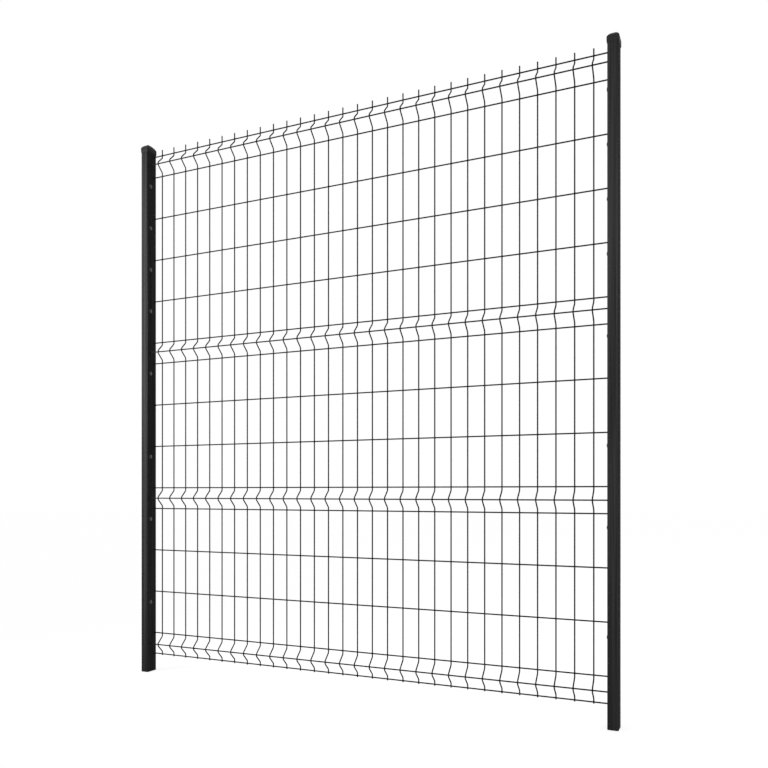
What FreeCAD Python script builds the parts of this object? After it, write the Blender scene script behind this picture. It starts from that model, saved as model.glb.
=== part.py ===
"""Welded mesh fence panel with four stiffening folds, standing between two capped tube posts.

Units are millimetres. X runs along the fence from the left post to the right one, -Y is the
front that the folds stand out to, and Z is up. The origin is the centre of the left post's foot.
"""
import FreeCAD, Part
import enum
import math
import os

import Sketcher

DOC = FreeCAD.newDocument("MeshFencePanel")
X_AXIS = FreeCAD.Vector(1, 0, 0)
Z_AXIS = FreeCAD.Vector(0, 0, 1)
# Two points nearer than this are one
TOUCH = 0.001

# Driving dimensions: alias, value in millimetres or a count, and what it is
DIMENSIONS = (
    ("post_width", 40.0, "post section along the fence"),
    ("post_depth", 60.0, "post section across the fence"),
    ("post_wall", 2.0, "wall of the post tube"),
    ("post_corner", 4.0, "outer corner radius of the post tube"),
    ("post_length", 2514.0, "post tube from foot to top"),
    ("post_front_reach", 41.0, "upright wires' centre plane to the post's front face"),
    ("cap_wall", 2.5, "wall of the cap's skirt"),
    ("cap_clearance", 0.2, "gap between the skirt and the tube"),
    ("cap_skirt", 17.0, "skirt below the tube's end"),
    ("cap_roof", 7.5, "tube's end up to the eaves, where the dome starts"),
    ("cap_dome", 19.5, "dome's rise above the eaves"),
    ("cap_ridge", 2.0, "flat along the dome's ridge"),
    ("cap_ease", 3.0, "bevel along the eaves"),
    ("plug_hole", 12.0, "clamp hole through the post's inner wall"),
    ("plug_head", 19.0, "head of the plug that closes a clamp hole"),
    ("plug_crown", 9.0, "flat top of a plug's head"),
    ("plug_rise", 4.5, "how far a plug's head stands out"),
    ("plug_rim", 1.2, "straight rim of a plug's head"),
    ("plug_stem", 10.0, "plug's stem behind its head"),
    ("plug_clearance", 0.2, "gap between a plug's stem and its hole"),
    ("plug_setback", 20.0, "post's front face to the clamp holes' line"),
    ("plug_drop", 50.0, "crosswire down to the clamp hole under it"),
    ("wire", 5.0, "diameter of the round wire"),
    ("wire_pitch", 70.0, "spacing of the upright wires"),
    ("wire_count", 30, "number of upright wires"),
    ("end_gap", 54.0, "last upright wire to the post's inner face"),
    ("ground_gap", 84.0, "post's foot to the lowest crosswire"),
    ("field_pitch", 200.0, "spacing of the crosswires between folds"),
    ("fold_height", 100.0, "fold's upper crosswire to its lower one"),
    ("fold_depth", 30.0, "how far a fold's tip stands out"),
    ("fold_tip", 12.0, "flat of a fold's tip"),
    ("wire_top", 25.0, "upright wires above the highest crosswire"),
    ("wire_tail", 5.0, "upright wires below the lowest crosswire"),
)

# Bands of the mesh from the foot up: each has one fold at its foot and the field above it
BANDS = ("bottom", "lower", "upper", "top")


class Point(enum.IntEnum):
    """Points of a sketched line or arc; a single point is its own start."""

    START = 1
    END = 2
    CENTRE = 3


class Axis(enum.IntEnum):
    """A sketch's own axes; the level one starts at the sketch's origin."""

    LEVEL = -1
    UPRIGHT = -2


ORIGIN = (Axis.LEVEL, Point.START)


def make_sheet():
    """Puts the driving dimensions in a spreadsheet, one alias to a row."""
    sheet = DOC.addObject("Spreadsheet::Sheet", "Sizes")
    for row, (alias, value, meaning) in enumerate(DIMENSIONS, start=1):
        sheet.set("A%d" % row, meaning)
        sheet.set("B%d" % row, str(value))
        sheet.setAlias("B%d" % row, alias)
    DOC.recompute()
    return sheet


SHEET = make_sheet()


def size(alias):
    """Reads one driving dimension back from the spreadsheet."""
    return float(SHEET.get(alias))


def bind(target, **formulas):
    """Ties properties of an object to formulas over the spreadsheet's aliases."""
    for prop, formula in formulas.items():
        target.setExpression(prop.replace("__", "."), formula)


def plane(body, role):
    """Finds one of a body's own origin planes by its role."""
    return next(item for item in body.Origin.OriginFeatures if item.Role == role)


def new_body(name):
    """Starts a body whose label names its node and its file."""
    body = DOC.addObject("PartDesign::Body", name)
    body.Label = name
    body.AllowCompound = True
    return body


def new_sketch(body, name, role):
    """Starts a sketch on one of the body's origin planes."""
    sketch = body.newObject("Sketcher::SketchObject", name)
    sketch.AttachmentSupport = [(plane(body, role), "")]
    sketch.MapMode = "FlatFace"
    return sketch


def hold(sketch, name, formula, *constraint):
    """Adds one dimension to a sketch and ties it to a formula."""
    index = sketch.addConstraint(Sketcher.Constraint(*constraint))
    sketch.renameConstraint(index, name)
    sketch.setExpression("Constraints." + name, formula)


def sketch_line(sketch, start, end):
    """Draws one straight line in a sketch and gives its number."""
    return sketch.addGeometry(Part.LineSegment(FreeCAD.Vector(*start, 0), FreeCAD.Vector(*end, 0)))


def closed_outline(sketch, corners):
    """Draws straight lines round a list of corners, joined end to end, and gives their numbers."""
    lines = [sketch_line(sketch, *ends) for ends in zip(corners, corners[1:] + corners[:1])]
    for before, after in zip(lines, lines[1:] + lines[:1]):
        sketch.addConstraint(Sketcher.Constraint("Coincident", before, Point.END, after, Point.START))
    return lines


def hold_square(sketch, sides, width, depth):
    """Holds four joined lines to a rectangle about the sketch's origin.

    width and depth are pairs of a formula and its value.
    """
    for index, side in enumerate(sides):
        sketch.addConstraint(Sketcher.Constraint("Vertical" if index % 2 else "Horizontal", side))
    sketch.addConstraint(
        Sketcher.Constraint("Symmetric", sides[0], Point.START, sides[2], Point.START, *ORIGIN))
    hold(sketch, "width", width[0], "DistanceX", sides[0], Point.START, sides[0], Point.END, width[1])
    hold(sketch, "depth", depth[0], "DistanceY", sides[1], Point.START, sides[1], Point.END, depth[1])


def rounded_rectangle(sketch, name, width, depth, corner):
    """Draws a rectangle with round corners about the sketch's origin.

    width, depth and corner are pairs of a formula and its value, which places the first guess.
    """
    half_w, half_d, radius = width[1] / 2, depth[1] / 2, corner[1]
    in_w, in_d = half_w - radius, half_d - radius
    side_ends = (
        ((-in_w, -half_d), (in_w, -half_d)),
        ((half_w, -in_d), (half_w, in_d)),
        ((in_w, half_d), (-in_w, half_d)),
        ((-half_w, in_d), (-half_w, -in_d)),
    )
    sides = [sketch_line(sketch, start, end) for start, end in side_ends]
    arcs = []
    for quarter, (x, y) in enumerate(((in_w, -in_d), (in_w, in_d), (-in_w, in_d), (-in_w, -in_d))):
        circle = Part.Circle(FreeCAD.Vector(x, y, 0), Z_AXIS, radius)
        start = (quarter - 1) * math.pi / 2
        arcs.append(sketch.addGeometry(Part.ArcOfCircle(circle, start, start + math.pi / 2)))
    for index, side in enumerate(sides):
        arc, next_side = arcs[index], sides[(index + 1) % 4]
        sketch.addConstraint(Sketcher.Constraint("Tangent", side, Point.END, arc, Point.START))
        sketch.addConstraint(Sketcher.Constraint("Tangent", arc, Point.END, next_side, Point.START))
        sketch.addConstraint(Sketcher.Constraint("Vertical" if index % 2 else "Horizontal", side))
    for arc in arcs[1:]:
        sketch.addConstraint(Sketcher.Constraint("Equal", arcs[0], arc))
    sketch.addConstraint(
        Sketcher.Constraint("Symmetric", arcs[0], Point.CENTRE, arcs[2], Point.CENTRE, *ORIGIN))
    hold(sketch, name + "_width", width[0],
         "DistanceX", sides[3], Point.START, sides[1], Point.START, width[1])
    hold(sketch, name + "_depth", depth[0],
         "DistanceY", sides[0], Point.START, sides[2], Point.END, depth[1])
    hold(sketch, name + "_corner", corner[0], "Radius", arcs[0], corner[1])


def eight_sided(sketch, name, width, depth, radius, at=(0.0, 0.0)):
    """Draws a rectangle whose round corners are each one flat that touches the rounding.

    width, depth and radius are pairs of a formula and its value. Where they give a circle,
    the outline is the regular octagon round it. The outline's centre point is guessed at
    the place named by at, and its number is given back for the caller to hold.
    """
    half_w, half_d = width[1] / 2, depth[1] / 2
    cut_formula, cut = "(2 - sqrt(2)) * (%s)" % radius[0], (2 - math.sqrt(2)) * radius[1]
    half = [(cut - half_w, -half_d), (half_w - cut, -half_d), (half_w, cut - half_d), (half_w, half_d - cut)]
    corners = [(at[0] + x, at[1] + y) for x, y in half + [(-x, -y) for x, y in half]]
    lines = closed_outline(sketch, corners)
    middle = sketch.addGeometry(Part.Point(FreeCAD.Vector(*at, 0)), True)
    for line, facing in zip(lines[:4], lines[4:]):
        sketch.addConstraint(
            Sketcher.Constraint("Symmetric", line, Point.START, facing, Point.START, middle, Point.START))
    sketch.addConstraint(Sketcher.Constraint("Horizontal", lines[0]))
    sketch.addConstraint(Sketcher.Constraint("Vertical", lines[2]))
    sketch.addConstraint(Sketcher.Constraint("Perpendicular", lines[1], lines[3]))
    sketch.addConstraint(Sketcher.Constraint("Equal", lines[1], lines[3]))
    hold(sketch, name + "_width", width[0],
         "DistanceX", lines[6], Point.START, lines[2], Point.START, width[1])
    hold(sketch, name + "_depth", depth[0],
         "DistanceY", lines[0], Point.START, lines[4], Point.START, depth[1])
    for word, direction in (("_cut_across", "DistanceX"), ("_cut_up", "DistanceY")):
        hold(sketch, name + word, cut_formula, direction, lines[1], Point.START, lines[1], Point.END, cut)
    return middle


def centred_outline(body, name, role, width, depth, radius):
    """Draws an eight-sided outline about the body's own origin on one of its planes."""
    sketch = new_sketch(body, name, role)
    middle = eight_sided(sketch, "outline", width, depth, radius)
    sketch.addConstraint(Sketcher.Constraint("Coincident", middle, Point.START, *ORIGIN))
    return sketch


def round_outline(body, name, formula, diameter):
    """Draws the octagon round a circle of one diameter, square to the body's X axis."""
    across_flats = (formula, diameter)
    return centred_outline(body, name, "YZ_Plane", across_flats, across_flats,
                           ("(%s) / 2" % formula, diameter / 2))


def pad(body, name, profile, length):
    """Raises a profile off its plane by a length given as a formula."""
    raised = body.newObject("PartDesign::Pad", name)
    raised.Profile = profile
    bind(raised, Length=length)
    return raised


def far_face(feature, axis):
    """Names the face of a feature that lies furthest along an axis."""
    feature.recompute(True)
    faces = feature.Shape.Faces
    return "Face%d" % (1 + max(range(len(faces)), key=lambda index: faces[index].CenterOfMass.dot(axis)))


def edges_where(feature, holds):
    """Names the edges of a feature whose two ends pass a test."""
    feature.recompute(True)
    return [
        "Edge%d" % number for number, edge in enumerate(feature.Shape.Edges, start=1)
        if holds(*(vertex.Point for vertex in edge.Vertexes))
    ]


def upright_edges(feature):
    """Names the edges of a feature whose ends stand one above the other."""
    return edges_where(feature, lambda foot, head: (head - foot).cross(Z_AXIS).Length < TOUCH)


def level_edges(feature, height):
    """Names the edges of a feature that lie in the level plane at a height."""
    return edges_where(feature, lambda *ends: all(abs(end.z - height) < TOUCH for end in ends))


def bevel(body, name, feature, where, **sizes):
    """Cuts the named edges, or the edges of the named face, back by the given formulas.

    Where there are two, Size lies along the faces beside the named one and Size2 along it.
    """
    cut = body.newObject("PartDesign::Chamfer", name)
    cut.Base = (feature, where)
    cut.ChamferType = "Two distances" if "Size2" in sizes else "Equal distance"
    bind(cut, **sizes)
    return cut


def field_gaps():
    """Shares the field gaps that the posts are long enough for among the fields.

    What is left over after an even share goes to the upper fields, one gap each.
    """
    fields = len(BANDS) - 1
    folds = len(BANDS) * size("fold_height")
    room = size("post_length") - size("ground_gap") - size("wire_top") - folds
    share, left_over = divmod(int(room // size("field_pitch")), fields)
    return [share + (field >= fields - left_over) for field in range(fields)]


def band_wires():
    """Lists each band's crosswires from the bottom up, the second of them at its fold's tip.

    A crosswire is given as the number of folds and the number of field gaps below it.
    """
    bands, below = [], 0
    for fold, gaps in enumerate(field_gaps() + [1]):
        on_fold = [(fold + part, below) for part in (0, 0.5, 1)]
        singles = [(fold + 1, below + gap) for gap in range(1, gaps)]
        bands.append(on_fold + singles)
        below += gaps
    return bands


def plugged_wires():
    """Lists the crosswires that have a clamp hole under them in each post.

    They top every second gap of a field, and every gap of the highest field.
    """
    wires, below = [], 0
    fields = field_gaps()
    for field, gaps in enumerate(fields, start=1):
        step = 1 if field == len(fields) else 2
        wires += [(field, below + gap + 1) for gap in range(0, gaps, step)]
        below += gaps
    return wires


def level(wire):
    """Gives a crosswire's height as a pair of a formula and its value."""
    folds, gaps = wire
    formula = "Sizes.ground_gap + %g * Sizes.fold_height + %d * Sizes.field_pitch" % (folds, gaps)
    return formula, size("ground_gap") + folds * size("fold_height") + gaps * size("field_pitch")


# Formulas that several pieces share
INNER_FACE = "Sizes.post_width / 2"
CLEAR_WIDTH = "((Sizes.wire_count - 1) * Sizes.wire_pitch + 2 * Sizes.end_gap)"
BAR = "(Sizes.wire * sqrt(pi / 4))"
MESH_PLANE = "(Sizes.post_front_reach - Sizes.post_depth / 2)"
SIDES = {"left": 1, "right": -1}


def across(side):
    """Gives the formula for the centre of a post along the fence."""
    return "0" if side == "left" else "(Sizes.post_width + %s)" % CLEAR_WIDTH


def build_post(side):
    """A post: a round-cornered tube with a row of clamp holes in the wall that faces the mesh."""
    body = new_body(side + "_post")
    section = new_sketch(body, side + "_post_section", "XY_Plane")
    width, depth, wall, corner = (size("post_" + word) for word in ("width", "depth", "wall", "corner"))
    rounded_rectangle(section, "outer", ("Sizes.post_width", width), ("Sizes.post_depth", depth),
                      ("Sizes.post_corner", corner))
    rounded_rectangle(section, "inner",
                      ("Sizes.post_width - 2 * Sizes.post_wall", width - 2 * wall),
                      ("Sizes.post_depth - 2 * Sizes.post_wall", depth - 2 * wall),
                      ("Sizes.post_corner - Sizes.post_wall", corner - wall))
    tube = body.newObject("PartDesign::Pad", side + "_post_tube")
    tube.Profile = section
    bind(tube, Length="Sizes.post_length")

    holes = new_sketch(body, side + "_clamp_holes", "YZ_Plane")
    setback = depth / 2 - size("plug_setback")
    hole = ("Sizes.plug_hole", size("plug_hole"))
    for number, wire in enumerate(plugged_wires(), start=1):
        formula, height = level(wire)
        height -= size("plug_drop")
        middle = eight_sided(holes, "hole_%d" % number, hole, hole,
                             ("Sizes.plug_hole / 2", size("plug_hole") / 2), at=(-setback, height))
        hold(holes, "back_%d" % number, "Sizes.post_depth / 2 - Sizes.plug_setback",
             "DistanceX", middle, Point.START, *ORIGIN, setback)
        hold(holes, "up_%d" % number, formula + " - Sizes.plug_drop",
             "DistanceY", *ORIGIN, middle, Point.START, height)
    drilled = body.newObject("PartDesign::Pocket", side + "_post_drilled")
    drilled.Profile = holes
    drilled.Reversed = SIDES[side] > 0
    bind(drilled, Length="Sizes.post_width")
    bind(body, Placement__Base__x=across(side))
    return body


def cap_outline(gap_formula, gap):
    """Gives the width and depth of an outline that stands a gap off the post all round."""
    return [
        ("Sizes.post_%s + 2 * (%s)" % (word, gap_formula), size("post_" + word) + 2 * gap)
        for word in ("width", "depth")
    ]


def build_cap(side):
    """A moulded cap: a skirt round the tube's end under a dome of four slopes with eased eaves."""
    name = side + "_post_cap"
    body = new_body(name)
    lap, lap_now = "(Sizes.cap_wall + Sizes.cap_clearance)", size("cap_wall") + size("cap_clearance")
    (width, width_now), (depth, depth_now) = cap_outline(lap, lap_now)
    plan = new_sketch(body, name + "_plan", "XY_Plane")
    half_w, half_d = width_now / 2, depth_now / 2
    sides = closed_outline(
        plan, [(-half_w, -half_d), (half_w, -half_d), (half_w, half_d), (-half_w, half_d)])
    hold_square(plan, sides, (width, width_now), (depth, depth_now))
    mass = pad(body, name + "_mass", plan, "Sizes.cap_skirt + Sizes.cap_roof + Sizes.cap_dome")
    slopes = bevel(body, name + "_slopes", mass, [far_face(mass, Z_AXIS)],
                   Size="Sizes.cap_dome", Size2="(%s - Sizes.cap_ridge) / 2" % width)
    eaves = level_edges(slopes, size("cap_skirt") + size("cap_roof"))
    eased = bevel(body, name + "_eased", slopes, eaves, Size="Sizes.cap_ease")
    bevel(body, name + "_corners", eased, upright_edges(eased),
          Size="(2 - sqrt(2)) * (Sizes.post_corner + %s)" % lap)
    gap, gap_now = "Sizes.cap_clearance", size("cap_clearance")
    mouth = centred_outline(body, name + "_mouth", "XY_Plane", *cap_outline(gap, gap_now),
                            ("Sizes.post_corner + " + gap, size("post_corner") + gap_now))
    socket = body.newObject("PartDesign::Pocket", name + "_socket")
    socket.Profile = mouth
    socket.Reversed = True
    bind(socket, Length="Sizes.cap_skirt")
    bind(body, Placement__Base__x=across(side), Placement__Base__z="Sizes.post_length - Sizes.cap_skirt")
    return body


def build_plug(side, number, wire):
    """A plug in one clamp hole: a stem through the wall under a low domed head."""
    name = "%s_plug_%d" % (side, number)
    body = new_body(name)
    neck = round_outline(body, name + "_neck", "Sizes.plug_hole - 2 * Sizes.plug_clearance",
                         size("plug_hole") - 2 * size("plug_clearance"))
    stem = pad(body, name + "_stem", neck, "Sizes.plug_stem")
    stem.Reversed = True
    face = round_outline(body, name + "_face", "Sizes.plug_head", size("plug_head"))
    head = pad(body, name + "_head", face, "Sizes.plug_rise")
    bevel(body, name + "_crown", head, [far_face(head, X_AXIS)],
          Size="Sizes.plug_rise - Sizes.plug_rim", Size2="(Sizes.plug_head - Sizes.plug_crown) / 2")

    if side == "right":
        body.Placement.Rotation = FreeCAD.Rotation(Z_AXIS, 180)
    height, _ = level(wire)
    face = across(side) + (" + " if side == "left" else " - ") + INNER_FACE
    bind(body, Placement__Base__x=face,
         Placement__Base__y="Sizes.plug_setback - Sizes.post_depth / 2",
         Placement__Base__z=height + " - Sizes.plug_drop")
    return body


def build_uprights(name, low, high, fold):
    """The upright wires of one band: a square bar swept along the fold's bends, then repeated.

    low, high and fold are pairs of a formula and its value: the band's two ends and the
    height of the middle of its fold.
    """
    body = new_body(name)
    bends = new_sketch(body, name + "_bends", "YZ_Plane")
    depth, tip, leg = size("fold_depth"), size("fold_tip") / 2, size("fold_depth")
    stops = (
        ("low", 0, low[0], low[1]),
        ("lower_root", 0, fold[0] + " - Sizes.fold_tip / 2 - Sizes.fold_depth", fold[1] - tip - leg),
        ("lower_tip", -depth, fold[0] + " - Sizes.fold_tip / 2", fold[1] - tip),
        ("upper_tip", -depth, fold[0] + " + Sizes.fold_tip / 2", fold[1] + tip),
        ("upper_root", 0, fold[0] + " + Sizes.fold_tip / 2 + Sizes.fold_depth", fold[1] + tip + leg),
        ("high", 0, high[0], high[1]),
    )
    runs = [
        sketch_line(bends, (start[1], start[3]), (end[1], end[3]))
        for start, end in zip(stops, stops[1:])
    ]
    ends = [(runs[0], Point.START)] + [(run, Point.END) for run in runs]
    for before, after in zip(runs, runs[1:]):
        bends.addConstraint(Sketcher.Constraint("Coincident", before, Point.END, after, Point.START))
    for (word, out, formula, height), point in zip(stops, ends):
        hold(bends, word, formula, "DistanceY", *ORIGIN, *point, height)
        if out:
            hold(bends, word + "_out", "Sizes.fold_depth", "DistanceX", *point, *ORIGIN, depth)
        else:
            bends.addConstraint(Sketcher.Constraint("PointOnObject", *point, Axis.UPRIGHT))
    square = new_sketch(body, name + "_section", "XY_Plane")
    square.setExpression("AttachmentOffset.Base.z", low[0])
    bar = size("wire") * math.sqrt(math.pi / 4) / 2
    edges = closed_outline(square, [(-bar, -bar), (bar, -bar), (bar, bar), (-bar, bar)])
    hold_square(square, edges, (BAR, 2 * bar), (BAR, 2 * bar))
    wire = body.newObject("PartDesign::AdditivePipe", name + "_wire")
    wire.Profile = square
    wire.Spine = bends
    wire.Transition = "Right corner"
    row = body.newObject("PartDesign::LinearPattern", name + "_row")
    row.Originals = [wire]
    row.Direction = (square, ["H_Axis"])
    bind(row, Length="(Sizes.wire_count - 1) * Sizes.wire_pitch", Occurrences="Sizes.wire_count")
    body.Tip = row
    bind(body, Placement__Base__x=INNER_FACE + " + Sizes.end_gap", Placement__Base__y=MESH_PLANE)
    return body


def build_band(name, wires, low, high):
    """A band of the mesh: its upright wires and crosswires, welded where they cross."""
    tip = wires[1]
    pieces = [build_uprights(name + "_uprights", low, high, level(tip))]
    for number, crossing in enumerate(wires, start=1):
        height, _ = level(crossing)
        wire = DOC.addObject("Part::Box", "%s_crosswire_%d" % (name, number))
        forward = " - Sizes.fold_depth" if crossing == tip else ""
        bind(wire, Length=CLEAR_WIDTH, Width=BAR, Height=BAR,
             Placement__Base__x=INNER_FACE,
             Placement__Base__y="%s + %s / 2%s" % (MESH_PLANE, BAR, forward),
             Placement__Base__z="%s - %s / 2" % (height, BAR))
        pieces.append(wire)
    band = DOC.addObject("Part::MultiFuse", name)
    band.Label = name
    band.Shapes = pieces
    return band


def build_mesh():
    """The whole mesh as bands that meet face to face in the middle of a field gap."""
    mesh = band_wires()
    foot, foot_now = level(mesh[0][0])
    low = (foot + " - Sizes.wire_tail", foot_now - size("wire_tail"))
    bands = []
    for word, wires in zip(BANDS, mesh):
        top, top_now = level(wires[-1])
        if wires is mesh[-1]:
            high = (top + " + Sizes.wire_top", top_now + size("wire_top"))
        else:
            high = (top + " + Sizes.field_pitch / 2", top_now + size("field_pitch") / 2)
        bands.append(build_band("mesh_%s_band" % word, wires, low, high))
        low = high
    return bands


def check(objects):
    """Stops on any failed object, or on a piece that is empty, invalid or not solid."""
    for item in DOC.Objects:
        if "Invalid" in item.State or "Error" in item.State:
            raise RuntimeError("failed object: " + item.Name)
    for item in objects:
        shape = item.Shape
        if shape.isNull() or not shape.isValid() or not shape.Solids:
            raise RuntimeError("bad shape: " + item.Label)


def main():
    """Builds every piece, checks it and writes one STEP file for each."""
    pieces = []
    for side in SIDES:
        pieces.append(build_post(side))
        pieces.append(build_cap(side))
        for number, wire in enumerate(plugged_wires(), start=1):
            pieces.append(build_plug(side, number, wire))
    pieces += build_mesh()
    DOC.recompute()
    check(pieces)
    os.makedirs("parts", exist_ok=True)
    for piece in pieces:
        piece.Shape.exportStep("parts/%s.step" % piece.Label)
        print("%-20s solids %d volume %.0f" % (piece.Label, len(piece.Shape.Solids), piece.Shape.Volume))


main()
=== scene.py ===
"""Dresses one bay of folded welded mesh fencing: its wires, welds, posts, caps and plugs.

The frame's axes hold here: X along the fence, -Y the front that the folds stand out to, Z up,
in metres. Every piece is worked out as whole arrays. It replaces the plain node that it stands
for, and only the beads of the tubes' own welds are extra.
"""
import logging
import math
from dataclasses import dataclass
from enum import Enum

import bpy
import numpy as np
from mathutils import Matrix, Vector


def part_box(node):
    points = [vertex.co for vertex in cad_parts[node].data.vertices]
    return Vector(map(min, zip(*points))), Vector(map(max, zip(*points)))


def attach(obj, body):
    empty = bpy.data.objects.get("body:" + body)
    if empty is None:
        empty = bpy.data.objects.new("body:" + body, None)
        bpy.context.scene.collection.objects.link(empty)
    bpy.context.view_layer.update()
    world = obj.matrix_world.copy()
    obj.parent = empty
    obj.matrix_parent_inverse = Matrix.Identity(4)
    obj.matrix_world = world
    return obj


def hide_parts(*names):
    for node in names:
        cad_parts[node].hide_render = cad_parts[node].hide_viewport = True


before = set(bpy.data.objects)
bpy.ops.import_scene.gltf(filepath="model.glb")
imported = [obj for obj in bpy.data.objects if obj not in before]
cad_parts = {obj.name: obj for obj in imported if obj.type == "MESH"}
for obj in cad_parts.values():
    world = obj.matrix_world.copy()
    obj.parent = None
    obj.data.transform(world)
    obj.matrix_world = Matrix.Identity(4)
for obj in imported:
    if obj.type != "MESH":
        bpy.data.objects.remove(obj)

Array = np.ndarray
MM = 0.001
BODY = "root"
LOG = logging.getLogger("mesh_fence")
# Edges that turn by more than this stay sharp
CREASE = math.radians(32)


class Slot(Enum):
    """The record's material slots."""

    WIRE = "wire_coating"
    POST = "post_coating"
    CAP = "cap_plastic"


class Side(Enum):
    """The two posts, and the direction from each towards the mesh."""

    LEFT = 1
    RIGHT = -1

    @property
    def word(self) -> str:
        """The side's name as the nodes spell it."""
        return self.name.lower()

    def plugs(self) -> list[str]:
        """The nodes of the post's plugs."""
        return [name for name in sorted(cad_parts) if name.startswith(self.word + "_plug_")]


@dataclass
class Shell:
    """A closed surface: points, and faces of four and three corners."""

    points: Array
    quads: Array
    triangles: Array

    @staticmethod
    def joined(shells: list["Shell"]) -> "Shell":
        """Puts several shells in one, with their corner numbers moved on.

        Args:
            shells: The shells to join.

        Returns:
            One shell with all their points and faces.
        """
        starts = np.cumsum([0] + [len(shell.points) for shell in shells[:-1]])
        return Shell(
            np.concatenate([shell.points for shell in shells]),
            np.concatenate([shell.quads + start for shell, start in zip(shells, starts)]),
            np.concatenate([shell.triangles + start for shell, start in zip(shells, starts)]),
        )


def skin(rings: Array) -> Shell:
    """Closes rows of rings into solids, with a pole in the middle of each end ring.

    Neighbouring rings are joined by quads, and each end ring by triangles to the mean of its
    points. A ring runs anticlockwise as seen from the solid's last end.

    Args:
        rings: Points of shape (solids, rings, points round a ring, 3).

    Returns:
        The shell of all the solids.
    """
    solids, rows, around, _ = rings.shape
    body = rings.reshape(-1, 3)
    poles = rings[:, [0, -1]].mean(axis=2).reshape(-1, 3)
    solid = np.arange(solids)[:, None, None] * rows * around
    row = np.arange(rows - 1)[None, :, None] * around
    step = np.arange(around)[None, None, :]
    beside = (step + 1) % around
    low, low_next = solid + row + step, solid + row + beside
    quads = np.stack([low, low_next, low_next + around, low + around], axis=-1)
    start = solid[:, 0] + step[0]
    start_next = solid[:, 0] + beside[0]
    end_shift = (rows - 1) * around
    first_pole = len(body) + 2 * np.arange(solids)[:, None] + np.zeros_like(start)
    first_end = np.stack([first_pole, start_next, start], axis=-1)
    last_end = np.stack([first_pole + 1, start + end_shift, start_next + end_shift], axis=-1)
    triangles = np.concatenate([first_end.reshape(-1, 3), last_end.reshape(-1, 3)])
    return Shell(np.concatenate([body, poles]), quads.reshape(-1, 4), triangles)


def angles(count: int) -> Array:
    """Even angles round a full turn, the last one short of the first."""
    return np.arange(count) * (2 * math.pi / count)


def half_and_middle(low: Vector, high: Vector) -> tuple[Array, Array]:
    """A box's plan.

    Args:
        low: The box's lowest corner.
        high: The box's highest corner.

    Returns:
        Its half sizes and its middle, each along X and Y.
    """
    first, last = np.array(low)[:2], np.array(high)[:2]
    return (last - first) / 2, (last + first) / 2


def rounded_outline(half_width: float, half_depth: float, radius: float, steps: int) -> Array:
    """A rectangle with round corners, anticlockwise about the origin.

    Each corner is a quarter circle: its centre plus the radius along even angles.

    Args:
        half_width: Half the size along X.
        half_depth: Half the size along Y.
        radius: Corner radius.
        steps: Points on each corner.

    Returns:
        Points of shape (4 * steps, 2).
    """
    quarter = np.array([[1, 1], [-1, 1], [-1, -1], [1, -1]], float)
    centres = quarter * [half_width - radius, half_depth - radius]
    turn = np.arange(4)[:, None] * (math.pi / 2) + np.linspace(0, math.pi / 2, steps)[None, :]
    ray = np.stack([np.cos(turn), np.sin(turn)], axis=-1)
    return (centres[:, None, :] + radius * ray).reshape(-1, 2)


def rounded_route(corners: Array, radius: float, steps: int) -> tuple[Array, Array]:
    """Rounds the inner corners of a flat route with arcs that touch both runs.

    An arc starts the radius times tan(half the turn) before its corner, its centre lies the
    radius to the side from there, and its points swing from one run's direction to the next.

    Args:
        corners: Points of shape (n, 2), the first and last being the route's ends.
        radius: Radius of every bend.
        steps: Points on each bend.

    Returns:
        The route's points and its unit directions, both of shape (m, 2).
    """
    runs = np.diff(corners, axis=0)
    runs /= np.linalg.norm(runs, axis=1, keepdims=True)
    before, after = runs[:-1], runs[1:]
    cross = before[:, 0] * after[:, 1] - before[:, 1] * after[:, 0]
    turn = np.arctan2(cross, (before * after).sum(axis=1))
    side = np.sign(turn)[:, None]
    quarter_turned = np.stack([-before[:, 1], before[:, 0]], axis=1)
    reach = (radius * np.tan(np.abs(turn) / 2))[:, None]
    centre = corners[1:-1] - before * reach + side * quarter_turned * radius
    swing = turn[:, None] * np.linspace(0, 1, steps)[None, :]
    cos, sin = np.cos(swing)[..., None], np.sin(swing)[..., None]
    direction = before[:, None, :] * cos + quarter_turned[:, None, :] * sin
    outward = np.stack([direction[..., 1], -direction[..., 0]], axis=-1) * side[:, None, :]
    bends = centre[:, None, :] + outward * radius
    points = np.concatenate([corners[:1], bends.reshape(-1, 2), corners[-1:]])
    directions = np.concatenate([runs[:1], direction.reshape(-1, 2), runs[-1:]])
    return points, directions


def add_object(name: str, data: bpy.types.ID) -> bpy.types.Object:
    """Puts a mesh, a lamp or a camera in the scene.

    Args:
        name: The object's name.
        data: What it shows.

    Returns:
        The new object, at the origin.
    """
    thing = bpy.data.objects.new(name, data)
    bpy.context.scene.collection.objects.link(thing)
    return thing


def shade(mesh: bpy.types.Mesh) -> None:
    """Shades a mesh smooth, but for its sharp edges."""
    mesh.shade_smooth()
    mesh.set_sharp_from_angle(angle=CREASE)


def smooth_piece(name: str, shell: Shell) -> bpy.types.Object:
    """Makes a smooth mesh object from a shell.

    Args:
        name: The piece's name.
        shell: Its surface, in metres in the frame.

    Returns:
        The new object, at the origin.
    """
    mesh = bpy.data.meshes.new(name)
    mesh.from_pydata(shell.points.tolist(), [], shell.quads.tolist() + shell.triangles.tolist())
    mesh.validate()
    shade(mesh)
    return add_object(name, mesh)


def settle(piece: bpy.types.Object, material: bpy.types.Material,
           node: str | None = None) -> None:
    """Gives a piece its finish and lets it ride, in place of its node if it has one.

    Args:
        piece: The finished object.
        material: The finish.
        node: The node that the piece replaces, or None for a piece that is extra.
    """
    piece.data.materials.append(material)
    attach(piece, BODY)
    if node:
        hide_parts(node)
    triangles = sum(len(face.vertices) - 2 for face in piece.data.polygons)
    role = "in place of " + node if node else "extra"
    LOG.info("%s: %d triangles, %s", piece.name, triangles, role)


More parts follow.
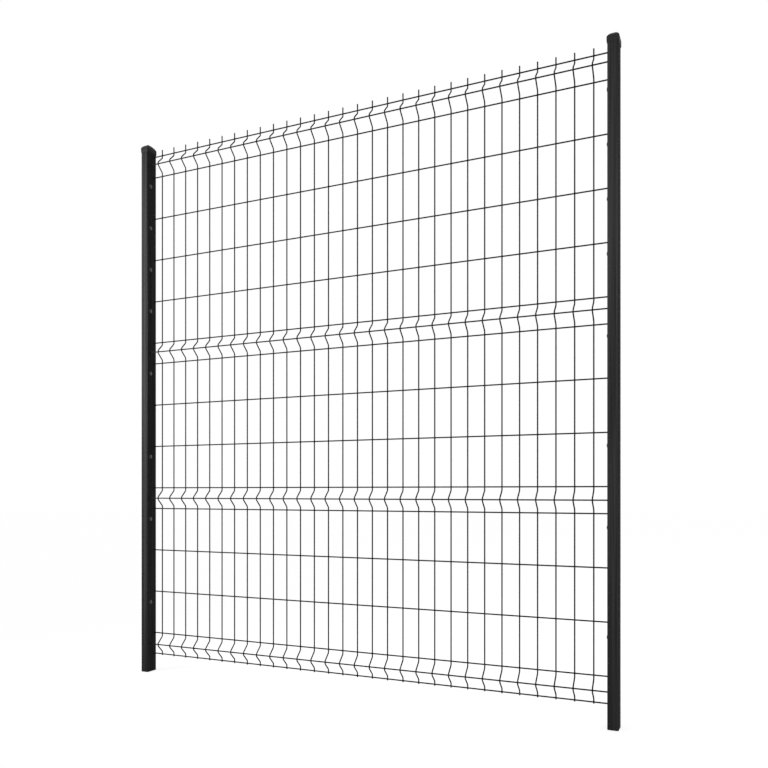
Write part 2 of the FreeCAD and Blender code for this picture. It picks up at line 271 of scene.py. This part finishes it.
def linear(colour: str) -> tuple[float, float, float, float]:
    """Turns an sRGB hex colour to the linear values that a shader takes.

    Args:
        colour: Six hex digits.

    Returns:
        Red, green, blue and an alpha of 1.
    """
    parts = np.array([int(colour[at:at + 2], 16) for at in (0, 2, 4)]) / 255
    curved = np.where(parts <= 0.04045, parts / 12.92, ((parts + 0.055) / 1.055) ** 2.4)
    return (*curved.tolist(), 1.0)


def add_node(tree: bpy.types.NodeTree, kind: str, links: dict | None = None,
             values: dict | None = None, **settings: object) -> bpy.types.Node:
    """Adds one shader node.

    Args:
        tree: The tree that it joins.
        kind: Blender's name for the node's type.
        links: Output sockets to join to the node's inputs, by the inputs' names.
        values: Plain values of its inputs.
        **settings: Properties of the node.

    Returns:
        The new node.
    """
    node = tree.nodes.new(kind)
    for name, value in settings.items():
        setattr(node, name, value)
    for name, value in (values or {}).items():
        node.inputs[name].default_value = value
    for name, source in (links or {}).items():
        tree.links.new(source, node.inputs[name])
    return node


@dataclass(frozen=True)
class Finish:
    """A black skin on the part, with cloudy colour, uneven gloss and a fine relief.

    The cloud and the relief are in millimetres on the real surface, and a grain under 1
    stretches the clouds along Z. The clouds' noise gathers about a half, so the colour and the
    gloss reach their two ends at values near it, in colour_ends and gloss_ends.
    """

    name: str
    deep: str
    thin: str
    gloss: tuple[float, float]
    specular: float
    cloud: float
    relief: float
    relief_height: float
    grain: float = 1.0
    colour_ends: tuple[float, float] = (0.32, 0.7)
    gloss_ends: tuple[float, float] = (0.3, 0.7)

    def material(self) -> bpy.types.Material:
        """Builds the node tree.

        Returns:
            The material, whose patterns lie on object coordinates.
        """
        material = bpy.data.materials.new(self.name)
        material.use_nodes = True
        tree = material.node_tree
        tree.nodes.clear()
        place = add_node(tree, "ShaderNodeTexCoord").outputs["Object"]
        drawn = add_node(tree, "ShaderNodeMapping", {"Vector": place},
                         {"Scale": (1.0, 1.0, self.grain)}).outputs["Vector"]
        cloud = add_node(tree, "ShaderNodeTexNoise", {"Vector": drawn},
                         {"Scale": 1 / (self.cloud * MM), "Detail": 3.0, "Roughness": 0.55})
        colour = add_node(tree, "ShaderNodeValToRGB", {"Fac": cloud.outputs["Fac"]})
        low, high = colour.color_ramp.elements
        low.position, high.position = self.colour_ends
        low.color, high.color = linear(self.deep), linear(self.thin)
        gloss = add_node(tree, "ShaderNodeMapRange", {"Value": cloud.outputs["Fac"]},
                         {"From Min": self.gloss_ends[0], "From Max": self.gloss_ends[1],
                          "To Min": self.gloss[0], "To Max": self.gloss[1]})
        peel = add_node(tree, "ShaderNodeTexNoise", {"Vector": place},
                        {"Scale": 1 / (self.relief * MM), "Detail": 2.0, "Roughness": 0.5})
        bump = add_node(tree, "ShaderNodeBump", {"Height": peel.outputs["Fac"]},
                        {"Strength": 1.0, "Distance": self.relief_height * MM})
        surface = add_node(tree, "ShaderNodeBsdfPrincipled",
                           {"Base Color": colour.outputs["Color"],
                            "Roughness": gloss.outputs["Result"],
                            "Normal": bump.outputs["Normal"]},
                           {"Specular IOR Level": self.specular})
        add_node(tree, "ShaderNodeOutputMaterial", {"Surface": surface.outputs["BSDF"]})
        return material


# Polyester powder baked on galvanised wire: satin black, and the melt leaves a soft orange peel
WIRE_POWDER = Finish("wire_powder_coat", deep="121213", thin="242425", gloss=(0.5, 0.7),
                     specular=0.1, cloud=40, relief=1.8, relief_height=0.05)
# A duller powder on drawn tube, whose draw lines leave long faint streaks along the post. They
# are wider than the real ones, which are too fine to show
POST_POWDER = Finish("post_powder_coat", deep="282829", thin="4b4b4c", gloss=(0.7, 0.92),
                     specular=0.05, cloud=9, relief=2.2, relief_height=0.06, grain=0.012)
# A plug comes out of a polished mould, so its dome catches the lamps
PLUG_POLYETHYLENE = Finish("polished_polyethylene", deep="161617", thin="222223",
                           gloss=(0.26, 0.34), specular=0.7, cloud=12, relief=0.8,
                           relief_height=0.008)
# Polyethylene from a spark-eroded mould, which leaves an even matt grain
CAP_POLYETHYLENE = Finish("moulded_polyethylene", deep="282829", thin="373738",
                          gloss=(0.5, 0.6), specular=0.13, cloud=25, relief=0.9,
                          relief_height=0.035)


@dataclass
class MeshBand:
    """One band of the mesh: upright wires folded once, and the crosswires welded behind them.

    A fold is a straight stretch, a leg to the front, the flat tip, a leg back and a straight
    stretch again, with every bend rounded. A nugget is the metal squeezed out at a crossing:
    its spread and thickness are shares of the wire's radius, and its levels are degrees.
    """

    node: str
    fold_base: float
    crosswires: Array
    cut: tuple[bool, bool]
    first_wire: float
    pitch: float
    count: int
    mesh_plane: float
    inner_faces: tuple[float, float]
    steel_radius: float = 2.5 * MM
    coat: float = 0.25 * MM
    fold_height: float = 100 * MM
    fold_depth: float = 30 * MM
    fold_tip: float = 12 * MM
    bend: float = 9 * MM
    bend_steps: int = 6
    cut_edge: float = 0.5 * MM
    sides: int = 14
    weld_length: float = 3.5 * MM
    weld_flare: float = 0.55
    weld_steps: int = 5
    nugget_spread: float = 1.3
    nugget_thickness: float = 0.8
    nugget_squareness: float = 0.5
    nugget_sides: int = 8
    nugget_levels: tuple[float, ...] = (-62, -25, 25, 62)

    @property
    def radius(self) -> float:
        """The wire's radius with its zinc and powder on."""
        return self.steel_radius + self.coat

    @property
    def behind(self) -> float:
        """How far a crosswire's axis lies behind the upright's: the weld sinks each a little."""
        return 2 * self.steel_radius * math.sqrt(math.pi / 4)

    def wire_places(self) -> Array:
        """The upright wires' places along the fence."""
        return self.first_wire + self.pitch * np.arange(self.count)

    def crosswire_axes(self) -> Array:
        """Where the crosswires' axes lie across the fence.

        All lie behind the mesh's plane but the second, which is on the fold's tip.

        Returns:
            One Y for each crosswire.
        """
        axes = np.full(len(self.crosswires), self.mesh_plane + self.behind)
        axes[1] -= self.fold_depth
        return axes

    def uprights(self) -> Shell:
        """The upright wires, a round section carried along the folded route.

        A ring lies square to the route: the route's point plus the radius along X and along
        the route's normal. Where the wires are cut off, the ends' edges are broken.

        Returns:
            The shell of all the uprights.
        """
        low, high = (corner.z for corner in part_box(self.node))
        middle = self.fold_base + self.fold_height / 2
        flat, leg = self.fold_tip / 2, self.fold_tip / 2 + self.fold_depth
        front = self.mesh_plane - self.fold_depth
        corners = np.array([
            (self.mesh_plane, low), (self.mesh_plane, middle - leg), (front, middle - flat),
            (front, middle + flat), (self.mesh_plane, middle + leg), (self.mesh_plane, high),
        ])
        bent, along = rounded_route(corners, self.bend, self.bend_steps)
        step = np.array([[0.0, self.cut_edge]])
        route = np.concatenate([bent[:1], bent[:1] + step, bent[1:-1], bent[-1:] - step, bent[-1:]])
        along = np.concatenate([along[:1], along, along[-1:]])
        normal = np.stack([along[:, 1], -along[:, 0]], axis=1)
        radii = np.full(len(route), self.radius)
        radii[[0, -1]] -= self.cut_edge * np.array(self.cut)
        around = angles(self.sides)
        sideways, forwards = (radii[:, None] * turn(around) for turn in (np.cos, np.sin))
        rings = np.zeros((self.count, len(route), self.sides, 3))
        rings[..., 0] = self.wire_places()[:, None, None] + sideways
        rings[..., 1:] = route[:, None, :] + forwards[..., None] * normal[:, None, :]
        return skin(rings)

    def rails(self) -> Shell:
        """The crosswires, with the small weld that flares each end onto the post.

        The radius grows as the square of the nearness to the post within the weld's length.

        Returns:
            The shell of all the crosswires.
        """
        left, right = self.inner_faces
        share = np.linspace(0, 1, self.weld_steps)
        x = np.concatenate([left + self.weld_length * share, right - self.weld_length * share[::-1]])
        nearness = 1 - np.concatenate([share, share[::-1]])
        radii = (self.radius * (1 + self.weld_flare * nearness ** 2))[:, None]
        around = angles(self.sides)
        rings = np.zeros((len(self.crosswires), len(x), self.sides, 3))
        rings[..., 0] = x[:, None]
        rings[..., 1] = self.crosswire_axes()[:, None, None] + radii * np.cos(around)
        rings[..., 2] = self.crosswires[:, None, None] + radii * np.sin(around)
        return skin(rings)

    def nuggets(self) -> Shell:
        """The metal squeezed out at each crossing.

        A nugget is a pillow: across the fence it is round, and seen from the front it is a
        square with round sides, cos and sin of the angle each to the power of the squareness.

        Returns:
            The shell of all the nuggets.
        """
        around = angles(self.nugget_sides) + math.pi / self.nugget_sides
        ray = np.stack([np.cos(around), np.sin(around)], axis=1)
        plan = np.sign(ray) * np.abs(ray) ** self.nugget_squareness
        level = np.radians(self.nugget_levels)[:, None]
        nugget = np.zeros((len(level), len(around), 3))
        nugget[..., 0] = self.nugget_spread * self.radius * np.cos(level) * plan[:, 0]
        nugget[..., 1] = -self.nugget_thickness * self.radius * np.sin(level)
        nugget[..., 2] = self.nugget_spread * self.radius * np.cos(level) * plan[:, 1]
        places = np.zeros((len(self.crosswires), self.count, 3))
        places[..., 0] = self.wire_places()
        places[..., 1] = self.crosswire_axes()[:, None] - self.behind / 2
        places[..., 2] = self.crosswires[:, None]
        return skin(nugget[None] + places.reshape(-1, 1, 1, 3))

    def build(self, material: bpy.types.Material) -> None:
        """Makes the band and puts it in place of its node.

        Args:
            material: The finish of the wires.
        """
        shell = Shell.joined([self.uprights(), self.rails(), self.nuggets()])
        settle(smooth_piece(self.node + "_wires", shell), material, self.node)


@dataclass
class MeshPanel:
    """The folded mesh: four bands that meet in the middle of a field gap.

    Each band but the top one has a number of field gaps between its fold and the next one's.
    """

    bands: tuple[str, ...] = ("bottom", "lower", "upper", "top")
    field_gaps: tuple[int, ...] = (3, 3, 4)
    field_pitch: float = 200 * MM
    tail: float = 5 * MM
    pitch: float = 70 * MM
    count: int = 30
    front_reach: float = 41 * MM

    def build(self, material: bpy.types.Material) -> None:
        """Works out each band's crosswires from the foot up and builds it.

        A band has the three crosswires of its fold, and above them the single ones between
        its field gaps. The top band has no single ones, as if it had one gap.

        Args:
            material: The finish of the wires.
        """
        post_low, post_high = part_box("left_post")
        inner_faces = (post_high.x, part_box("right_post")[0].x)
        mesh_plane = post_low.y + self.front_reach
        first_wire = sum(inner_faces) / 2 - (self.count - 1) * self.pitch / 2
        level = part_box("mesh_bottom_band")[0].z + self.tail
        for word, gaps in zip(self.bands, self.field_gaps + (1,)):
            fold = level + MeshBand.fold_height * np.array([0, 0.5, 1])
            field_wires = fold[-1] + self.field_pitch * np.arange(1, gaps)
            cut = (word == self.bands[0], word == self.bands[-1])
            crosswires = np.concatenate([fold, field_wires])
            MeshBand("mesh_%s_band" % word, level, crosswires, cut, first_wire, self.pitch,
                     self.count, mesh_plane, inner_faces).build(material)
            level = fold[-1] + self.field_pitch * gaps


@dataclass
class Post:
    """A rectangular tube post with clamp holes in the wall that faces the mesh.

    The seam is the bead of the tube's own weld. Its back lies in the wall, and the back's half
    width is a share of the bead's width.
    """

    side: Side
    wall: float = 2 * MM
    corner: float = 4 * MM
    corner_steps: int = 9
    edge: float = 0.4 * MM
    hole: float = 12 * MM
    hole_sides: int = 32
    seam_width: float = 3.5 * MM
    seam_height: float = 0.6 * MM
    seam_back: float = 0.4
    seam_steps: int = 9

    @property
    def node(self) -> str:
        """The post's node."""
        return self.side.word + "_post"

    def outline(self, half: Array, inset: float) -> Array:
        """The tube's outline, moved inwards by an inset.

        Args:
            half: Half sizes of the tube's outside.
            inset: How far inside the outside the outline lies.

        Returns:
            Points of shape (n, 2).
        """
        return rounded_outline(*(half - inset), self.corner - inset, self.corner_steps)

    def tube(self, low: Vector, high: Vector) -> Shell:
        """The tube: its outside, the inside and the two square-cut ends with broken edges.

        The same outline climbs the outside and comes down the inside, so that the rings close
        into one surface.

        Args:
            low: The post's lowest corner.
            high: The post's highest corner.

        Returns:
            The tube's shell.
        """
        half, middle = half_and_middle(low, high)
        steps = (
            (self.edge, low.z), (0.0, low.z + self.edge),
            (0.0, high.z - self.edge), (self.edge, high.z),
            (self.wall - self.edge / 2, high.z), (self.wall, high.z - self.edge),
            (self.wall, low.z + self.edge), (self.wall - self.edge / 2, low.z),
        )
        rings = np.zeros((len(steps), 4 * self.corner_steps, 3))
        rings[..., :2] = [self.outline(half, inset) + middle for inset, _ in steps]
        rings[..., 2] = [[height] for _, height in steps]
        rows, around = rings.shape[:2]
        row, step = np.arange(rows)[:, None], np.arange(around)[None, :]
        here, beside = row * around + step, row * around + (step + 1) % around
        above, above_beside = np.roll(here, -1, axis=0), np.roll(beside, -1, axis=0)
        quads = np.stack([here, beside, above_beside, above], axis=-1).reshape(-1, 4)
        return Shell(rings.reshape(-1, 3), quads, np.zeros((0, 3), int))

    def seam(self, low: Vector, high: Vector) -> Shell:
        """The bead of the tube's own weld, along the inside of the wall away from the mesh.

        Its section is half a cosine wave over the wall, closed by a flat back in the wall.

        Args:
            low: The post's lowest corner.
            high: The post's highest corner.

        Returns:
            The bead's shell.
        """
        outer = low.x if self.side is Side.LEFT else high.x
        wave = np.linspace(-0.5, 0.5, self.seam_steps)
        across = np.concatenate([wave, [self.seam_back, -self.seam_back]]) * self.seam_width
        back = np.full(2, -self.wall / 2)
        height = np.concatenate([self.seam_height * np.cos(wave * math.pi), back])
        section = np.column_stack([outer + self.side.value * (self.wall + height),
                                   (low.y + high.y) / 2 + across])
        if self.side is Side.RIGHT:
            section = section[::-1]
        rings = np.zeros((1, 2, len(section), 3))
        rings[..., :2] = section
        rings[..., 2] = [[low.z + self.edge], [high.z - self.edge]]
        return skin(rings)

    def cutters(self, low: Vector, high: Vector) -> Shell:
        """Round bars through the mesh-side wall, one at each plug.

        Args:
            low: The post's lowest corner.
            high: The post's highest corner.

        Returns:
            The shell of all the bars, each along X.
        """
        corners = np.array([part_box(name) for name in self.side.plugs()])
        centres = corners.mean(axis=1)
        face = high.x if self.side is Side.LEFT else low.x
        around = angles(self.hole_sides)
        rings = np.zeros((len(centres), 2, self.hole_sides, 3))
        rings[..., 0] = [[face - 2 * self.wall], [face + 2 * self.wall]]
        rings[..., 1] = centres[:, 1, None, None] + self.hole / 2 * np.cos(around)
        rings[..., 2] = centres[:, 2, None, None] + self.hole / 2 * np.sin(around)
        return skin(rings)

    def drilled(self, low: Vector, high: Vector) -> bpy.types.Object:
        """Makes the tube and cuts the clamp holes.

        Args:
            low: The post's lowest corner.
            high: The post's highest corner.

        Returns:
            The tube, at the origin.
        """
        whole = smooth_piece(self.node + "_undrilled", self.tube(low, high))
        bars = smooth_piece(self.node + "_bars", self.cutters(low, high))
        drill = whole.modifiers.new("clamp_holes", "BOOLEAN")
        drill.operation = "DIFFERENCE"
        drill.solver = "EXACT"
        drill.object = bars
        graph = bpy.context.evaluated_depsgraph_get()
        mesh = bpy.data.meshes.new_from_object(whole.evaluated_get(graph))
        for spare in (whole, bars):
            bpy.data.objects.remove(spare)
        mesh.name = self.node + "_tube"
        shade(mesh)
        return add_object(mesh.name, mesh)

    def build(self, material: bpy.types.Material) -> None:
        """Puts the drilled tube in place of its node, and adds the bead.

        Args:
            material: The finish of the post.
        """
        low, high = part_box(self.node)
        settle(self.drilled(low, high), material, self.node)
        settle(smooth_piece(self.node + "_seam", self.seam(low, high)), material)


@dataclass
class Cap:
    """A moulded cap: a skirt with a bevelled lip under a dome that falls away to the corners.

    The socket is the inside, and its roof is closed over the tube's end. The lip's bevel starts
    the land's height above the lip. The crown is the last ring's share of the outline.
    """

    side: Side
    wall: float = 2.5 * MM
    socket_edge: float = 0.2 * MM
    roof_shares: tuple[float, ...] = (0.05, 0.5, 1.0)
    lip: float = 1.0 * MM
    lip_height: float = 6 * MM
    lip_land: float = 0.3 * MM
    lip_curve: float = 1.5
    lip_steps: int = 4
    skirt: float = 17 * MM
    corner: float = 6.7 * MM
    corner_steps: int = 14
    rise: float = 22.5 * MM
    fall: float = 1.5
    bulge: float = 0.8
    crown: float = 0.02
    dome_steps: int = 26

    def surface(self, low: Vector, high: Vector) -> Shell:
        """The whole cap, from the socket's roof down the inside, round the lip and over the dome.

        Each ring is the skirt's outline moved inwards or scaled about the middle. The dome is
        lofted from the eaves to its top: a ring at a share s of the outline lies at the rise
        times (1 - s^fall)^bulge, and the shares are cosines, so the rings crowd at the eaves.

        Args:
            low: The cap's lowest corner.
            high: The cap's highest corner.

        Returns:
            The cap's shell.
        """
        half, middle = half_and_middle(low, high)
        roof, eaves = low.z + self.skirt, high.z - self.rise
        lip_low, bevel = low.z + self.lip_land, self.wall - self.lip - self.socket_edge

        def ring(inset: float, share: float, height: float) -> Array:
            """One ring at an inset, scaled to a share, at a height."""
            plan = rounded_outline(*(half - inset), self.corner - inset, self.corner_steps)
            return np.column_stack([share * plan, np.full(len(plan), height)])

        rings = [ring(self.wall, share, roof) for share in self.roof_shares]
        rings.append(ring(self.wall, 1.0, low.z + self.socket_edge))
        rings.append(ring(self.wall - self.socket_edge, 1.0, low.z))
        rings.append(ring(self.wall - self.lip, 1.0, low.z))
        for step in np.linspace(0, 1, self.lip_steps + 1)[1:]:
            inset = bevel * (1 - step) ** self.lip_curve
            rings.append(ring(inset, 1.0, lip_low + self.lip_height * step))
        for share in np.cos(np.linspace(0, 1, self.dome_steps) * math.acos(self.crown)):
            dome = (1 - share ** self.fall) ** self.bulge
            rings.append(ring(0.0, share, eaves + self.rise * dome))
        placed = np.array(rings)[None]
        placed[..., :2] += middle
        return skin(placed)

    def build(self, material: bpy.types.Material) -> None:
        """Makes the cap and puts it in place of its node.

        Args:
            material: The finish of the cap.
        """
        node = self.side.word + "_post_cap"
        moulding = smooth_piece(node + "_moulding", self.surface(*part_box(node)))
        settle(moulding, material, node)


@dataclass
class Plug:
    """A plug in a clamp hole: a turned shape about X, with a snap ridge behind the wall.

    The head, the neck and the snap ridge have diameters. The tip is the stem's end, which
    narrows to a share of the neck. An edge is a step along X and one in radius, and the play
    is the gap between the tube's wall and the snap ridge.
    """

    node: str
    side: Side
    head: float = 19 * MM
    rise: float = 4.5 * MM
    rim: float = 1.2 * MM
    neck: float = 11.6 * MM
    snap: float = 12.5 * MM
    snap_slope: float = 1.3 * MM
    snap_back: float = 0.7 * MM
    play: float = 0.2 * MM
    stem: float = 10 * MM
    tip: float = 0.8
    tip_length: float = 1.2 * MM
    foot_edge: tuple[float, float] = (0.3 * MM, 0.4 * MM)
    rim_edge: tuple[float, float] = (0.2 * MM, 0.5 * MM)
    crown_end: float = 0.05
    crown_steps: int = 9
    wall: float = 2 * MM
    around: int = 40

    def profile(self) -> Array:
        """The turned outline, from the stem's end to the crown: distance along X and radius.

        The crown is the arc through the rim's edge and the middle. The head's edges, at its
        foot and at its rim, are broken by a small step along X and in radius.

        Returns:
            Points of shape (n, 2).
        """
        head, neck, snap = self.head / 2, self.neck / 2, self.snap / 2
        sag = self.rise - self.rim
        ball = (head ** 2 + sag ** 2) / (2 * sag)
        crown_start = math.asin((head - self.rim_edge[1]) / ball)
        swing = np.linspace(crown_start, self.crown_end, self.crown_steps)
        crown = np.column_stack([self.rise - ball + ball * np.cos(swing), ball * np.sin(swing)])
        snap_end = -self.wall - self.play
        snap_top = snap_end - self.snap_back
        stem = np.array([
            (-self.stem, self.tip * neck), (-self.stem + self.tip_length, neck),
            (snap_top - self.snap_slope, neck), (snap_top, snap), (snap_end, neck), (0.0, neck),
            (0.0, head - self.foot_edge[1]), (self.foot_edge[0], head),
            (self.rim - self.rim_edge[0], head),
        ])
        return np.concatenate([stem, crown])

    def build(self, material: bpy.types.Material) -> None:
        """Turns the profile about the hole's axis and replaces the plug's node.

        Args:
            material: The finish of the plug.
        """
        low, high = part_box(self.node)
        outwards = self.side.value
        face = high.x - self.rise if self.side is Side.LEFT else low.x + self.rise
        along, radius = self.profile().T
        turn = outwards * angles(self.around)
        rings = np.zeros((1, len(along), self.around, 3))
        rings[..., 0] = face + outwards * along[:, None]
        rings[..., 1] = (low.y + high.y) / 2 + radius[:, None] * np.cos(turn)
        rings[..., 2] = (low.z + high.z) / 2 + radius[:, None] * np.sin(turn)
        settle(smooth_piece(self.node + "_turned", skin(rings)), material, self.node)


@dataclass(frozen=True)
class Softbox:
    """A rectangular lamp with a grid: its place, what it faces, its size and its brightness."""

    name: str
    place: tuple[float, float, float]
    target: tuple[float, float, float]
    size: tuple[float, float]
    radiance: float
    beam: float

    def build(self) -> None:
        """Hangs the lamp, whose grid keeps the light off the floor.

        Its power is its brightness times pi times its area, over what the grid gathers in the
        middle of the beam: tan(half the beam) / (tan(half the beam) - half the beam).
        """
        lamp = bpy.data.lights.new(self.name, "AREA")
        lamp.shape = "RECTANGLE"
        lamp.size, lamp.size_y = self.size
        lamp.spread = self.beam
        reach = math.tan(self.beam / 2)
        gathered = reach / (reach - self.beam / 2)
        lamp.energy = self.radiance * math.pi * self.size[0] * self.size[1] / gathered
        holder = add_object(self.name, lamp)
        holder.location = self.place
        facing = Vector(self.target) - Vector(self.place)
        holder.rotation_euler = facing.to_track_quat("-Z", "Y").to_euler()


@dataclass
class Studio:
    """The pale floor and background, the lamps, and the camera at the photograph's view.

    The camera stands level at the right of the bay, turned to the left, and its picture is
    shifted up instead of the camera being tilted. The lens and the sensor are in millimetres,
    and the horizon's row and the picture's side in pixels.
    """

    camera_place: tuple[float, float, float] = (2.5864, -2.9021, 0.8654)
    camera_turn: float = math.radians(24.68)
    lens: float = 36.0
    sensor: float = 36.0
    horizon_row: float = 491.63
    picture: float = 768.0
    white: str = "ffffff"
    paper: str = "e7e7e7"
    ambient: float = 0.25
    floor_size: float = 60.0
    floor_glow: float = 0.795
    lamps: tuple[Softbox, ...] = (
        Softbox("key", place=(-2.3, -2.9, 1.8), target=(0.2, 0.0, 1.6), size=(1.4, 1.8),
                radiance=48.0, beam=math.radians(44)),
        Softbox("fill", place=(1.9, -4.2, 1.8), target=(2.1, 0.0, 1.5), size=(1.2, 2.2),
                radiance=8.0, beam=math.radians(60)),
    )

    def background(self) -> None:
        """Lights the object at an even level, and shows plain white to the eye and in gloss."""
        world = bpy.data.worlds.new("studio")
        world.use_nodes = True
        tree = world.node_tree
        tree.nodes.clear()
        lit, shown = (
            add_node(tree, "ShaderNodeBackground",
                     values={"Color": linear(self.white), "Strength": strength}).outputs[0]
            for strength in (self.ambient, 1.0)
        )
        mix = add_node(tree, "ShaderNodeMixShader", {"Fac": self.seen(tree), 1: lit, 2: shown})
        add_node(tree, "ShaderNodeOutputWorld", {"Surface": mix.outputs[0]})
        bpy.context.scene.world = world

    @staticmethod
    def seen(tree: bpy.types.NodeTree) -> bpy.types.NodeSocket:
        """Adds a test for rays that show the background: the eye's, and those through gloss.

        Args:
            tree: The tree that gets the test.

        Returns:
            A socket that is 1 for such a ray.
        """
        path = add_node(tree, "ShaderNodeLightPath").outputs
        gloss = add_node(tree, "ShaderNodeMath", {0: path["Is Camera Ray"], 1: path["Is Glossy Ray"]},
                         operation="MAXIMUM")
        through = add_node(tree, "ShaderNodeMath",
                           {0: gloss.outputs[0], 1: path["Is Transmission Ray"]},
                           operation="MAXIMUM")
        return through.outputs[0]

    def floor(self) -> None:
        """Lays the floor: white paper that keeps a shadow, with a glow for the eye and gloss."""
        half = self.floor_size / 2
        mesh = bpy.data.meshes.new("floor")
        corners = [(-half, -half, 0), (half, -half, 0), (half, half, 0), (-half, half, 0)]
        mesh.from_pydata(corners, [], [(0, 1, 2, 3)])
        floor = add_object("floor", mesh)
        material = bpy.data.materials.new("white_paper")
        material.use_nodes = True
        tree = material.node_tree
        tree.nodes.clear()
        paper = add_node(tree, "ShaderNodeBsdfDiffuse", values={"Color": linear(self.paper)})
        strength = add_node(tree, "ShaderNodeMath", {0: self.seen(tree)}, {1: self.floor_glow},
                            operation="MULTIPLY")
        glow = add_node(tree, "ShaderNodeEmission", {"Strength": strength.outputs[0]},
                        {"Color": linear(self.white)})
        both = add_node(tree, "ShaderNodeAddShader", {0: paper.outputs[0], 1: glow.outputs[0]})
        add_node(tree, "ShaderNodeOutputMaterial", {"Surface": both.outputs[0]})
        mesh.materials.append(material)

    def camera(self) -> None:
        """Sets the camera up at the photograph's viewpoint."""
        data = bpy.data.cameras.new("camera")
        data.lens = self.lens
        data.sensor_width = self.sensor
        data.shift_y = (self.horizon_row - self.picture / 2) / self.picture
        camera = add_object("camera", data)
        camera.location = self.camera_place
        camera.rotation_euler = (math.pi / 2, 0.0, self.camera_turn)
        bpy.context.scene.camera = camera

    def build(self) -> None:
        """Sets up everything round the object."""
        bpy.context.scene.view_settings.view_transform = "Standard"
        self.background()
        self.floor()
        for lamp in self.lamps:
            lamp.build()
        self.camera()


def main() -> None:
    """Builds the pieces in order, then the studio round them."""
    logging.basicConfig(level=logging.INFO, format="%(message)s")
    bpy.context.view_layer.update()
    wire, post, cap, plug = (finish.material() for finish in (
        WIRE_POWDER, POST_POWDER, CAP_POLYETHYLENE, PLUG_POLYETHYLENE))
    MeshPanel().build(wire)
    for side in Side:
        Post(side).build(post)
        Cap(side).build(cap)
        for node in side.plugs():
            Plug(node, side).build(plug)
    Studio().build()


if __name__ == "__main__":
    main()
